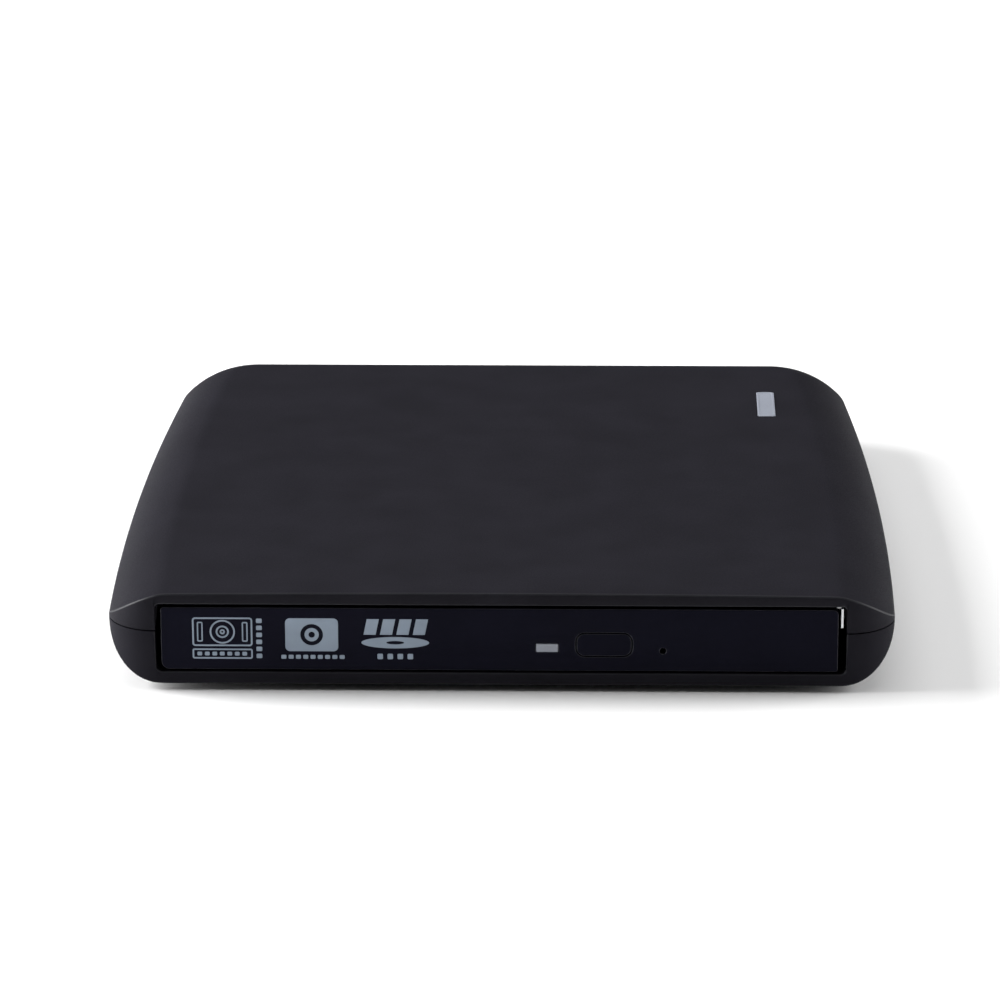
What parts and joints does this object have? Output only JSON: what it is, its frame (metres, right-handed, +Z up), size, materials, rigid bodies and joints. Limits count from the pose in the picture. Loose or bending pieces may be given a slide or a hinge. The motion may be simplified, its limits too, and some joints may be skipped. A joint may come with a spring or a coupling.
{
  "type": "external optical drive",
  "caption": "Flat pillow-shaped desktop case around a slim tray-loading optical drive, with faceplate, eject button, status window and a tray that slides out.",
  "frame": {"origin": "on the ground under the middle of the case", "axes": "+Z up, +Y towards the rear, +X to the right seen from the front"},
  "size_m": [0.1502, 0.148, 0.0198],
  "materials": {
    "shell_upper": "fine matte soft-touch black",
    "shell_lower": "fine matte black",
    "window": "frosted light grey",
    "foot_rubber": "matte",
    "screw_black": "blackened",
    "screw_steel": "bright",
    "board_green": "solder mask",
    "chip": "moulded epoxy",
    "metal_can": "drawn",
    "connector_black": "moulded",
    "socket_steel": "nickel plated",
    "pin_brass": "polished",
    "pan_steel": "zinc plated sheet",
    "guide_plastic": "moulded",
    "flex": "laminated flat cable",
    "tray_plastic": "fine textured",
    "bezel": "satin black",
    "frame_plastic": "glass filled",
    "mask_metal": "black coated sheet",
    "damper_rubber": "soft",
    "motor_metal": "pressed",
    "rod_steel": "ground and polished",
    "spring_steel": "spring wire",
    "rail_plastic": "low friction",
    "turntable_plastic": "moulded",
    "claw_plastic": "acetal",
    "pickup_metal": "die cast",
    "lens_glass": "coated"
  },
  "bodies": {
    "case": {"top_shell": "shell_upper", "bottom_shell": "shell_lower", "status_window": "window", "rubber_feet": "foot_rubber", "case_screws": "screw_black", "drive_mount_screws": "screw_steel", "board_screws": "screw_steel", "bridge_board": "board_green", "bridge_chip": "chip", "bridge_crystal": "metal_can", "bridge_capacitors": "metal_can", "status_led": "window", "sata_connector": "connector_black", "usb_socket_shell": "socket_steel", "usb_socket_tongue": "connector_black", "dc_jack_body": "connector_black", "dc_jack_pin": "pin_brass", "chassis_base": "pan_steel", "chassis_cover": "pan_steel", "cover_screws": "screw_steel", "right_guide": "guide_plastic", "left_guide": "guide_plastic", "main_board": "board_green", "drive_chip": "chip", "drive_connector": "connector_black", "latch_post": "screw_steel", "flex_cable": "flex"},
    "tray": {"tray": "tray_plastic", "tray_bezel": "bezel", "bezel_light_pipe": "window", "front_board": "board_green", "eject_switch": "connector_black", "activity_led": "window", "traverse_frame": "frame_plastic", "traverse_cover": "mask_metal", "traverse_shield": "screw_steel", "damper_bushes": "damper_rubber", "traverse_screws": "screw_steel", "spindle_motor": "motor_metal", "main_rod": "rod_steel", "side_rod": "rod_steel", "rod_clamps": "screw_steel", "sled_motor": "metal_can", "latch_solenoid": "connector_black", "eject_spring": "spring_steel"},
    "right_rail": {"right_rail": "rail_plastic"},
    "left_rail": {"left_rail": "rail_plastic"},
    "eject_button": {"eject_button": "bezel"},
    "spindle": {"spindle_rotor": "motor_metal", "turntable": "turntable_plastic", "turntable_pad": "damper_rubber"},
    "claw_a": {"clamp_claw_a": "claw_plastic"},
    "claw_b": {"clamp_claw_b": "claw_plastic"},
    "claw_c": {"clamp_claw_c": "claw_plastic"},
    "lead_screw": {"lead_screw": "rod_steel"},
    "pickup": {"pickup_body": "pickup_metal", "rack_nut": "claw_plastic"},
    "lens": {"objective_lens": "lens_glass"},
    "latch_lever": {"latch_lever": "claw_plastic"},
    "eject_pusher": {"eject_pusher": "guide_plastic"}
  },
  "joints": [
    {"name": "tray_slide", "type": "slide", "parent": "case", "child": "tray", "axis": [0, -1, 0], "range_m": [0, 0.126], "deforming": ["flex_cable"]},
    {"name": "right_rail_slide", "type": "slide", "parent": "case", "child": "right_rail", "axis": [0, -1, 0], "range_m": [0, 0.063]},
    {"name": "left_rail_slide", "type": "slide", "parent": "case", "child": "left_rail", "axis": [0, -1, 0], "range_m": [0, 0.063]},
    {"name": "eject_button_press", "type": "slide", "parent": "tray", "child": "eject_button", "axis": [0, 1, 0], "range_m": [0, 0.0005], "stiffness_N_per_m": 800, "springref_m": -0.0005},
    {"name": "spindle_spin", "type": "hinge", "parent": "tray", "child": "spindle", "pos_m": [-0.00026, -0.0084, 0.0128], "axis": [0, 0, 1], "continuous": true},
    {"name": "pickup_slide", "type": "slide", "parent": "tray", "child": "pickup", "axis": [-0.7071, -0.7071, 0], "range_m": [0, 0.0335]},
    {"name": "lead_screw_spin", "type": "hinge", "parent": "tray", "child": "lead_screw", "pos_m": [-0.03321, -0.01787, 0.0082], "axis": [-0.7071, -0.7071, 0], "range_deg": [0, 4030]},
    {"name": "lens_focus", "type": "slide", "parent": "pickup", "child": "lens", "axis": [0, 0, 1], "range_m": [-0.0004, 0.0004], "stiffness_N_per_m": 40},
    {"name": "latch_lever_turn", "type": "hinge", "parent": "tray", "child": "latch_lever", "pos_m": [0.03624, -0.004, 0.0072], "axis": [0, 0, -1], "range_deg": [0, 8], "stiffness_Nm_per_rad": 0.002},
    {"name": "eject_pusher_slide", "type": "slide", "parent": "tray", "child": "eject_pusher", "axis": [0, 1, 0], "range_m": [0, 0.012], "deforming": ["eject_spring"]},
    {"name": "claw_a_slide", "type": "slide", "parent": "spindle", "child": "claw_a", "axis": [0.7071, 0.7071, 0], "range_m": [0, 0.0005], "stiffness_N_per_m": 500},
    {"name": "claw_b_slide", "type": "slide", "parent": "spindle", "child": "claw_b", "axis": [-0.9659, 0.2588, 0], "range_m": [0, 0.0005], "stiffness_N_per_m": 500},
    {"name": "claw_c_slide", "type": "slide", "parent": "spindle", "child": "claw_c", "axis": [0.2588, -0.9659, 0], "range_m": [0, 0.0005], "stiffness_N_per_m": 500}
  ],
  "couplings": [
    {"joint": "right_rail_slide", "follows": "tray_slide", "ratio": 0.5},
    {"joint": "left_rail_slide", "follows": "tray_slide", "ratio": 0.5},
    {"joint": "eject_pusher_slide", "follows": "tray_slide", "ratio": 0.09523},
    {"joint": "lead_screw_spin", "follows": "pickup_slide", "rad_per_m": 2094.4}
  ]
}
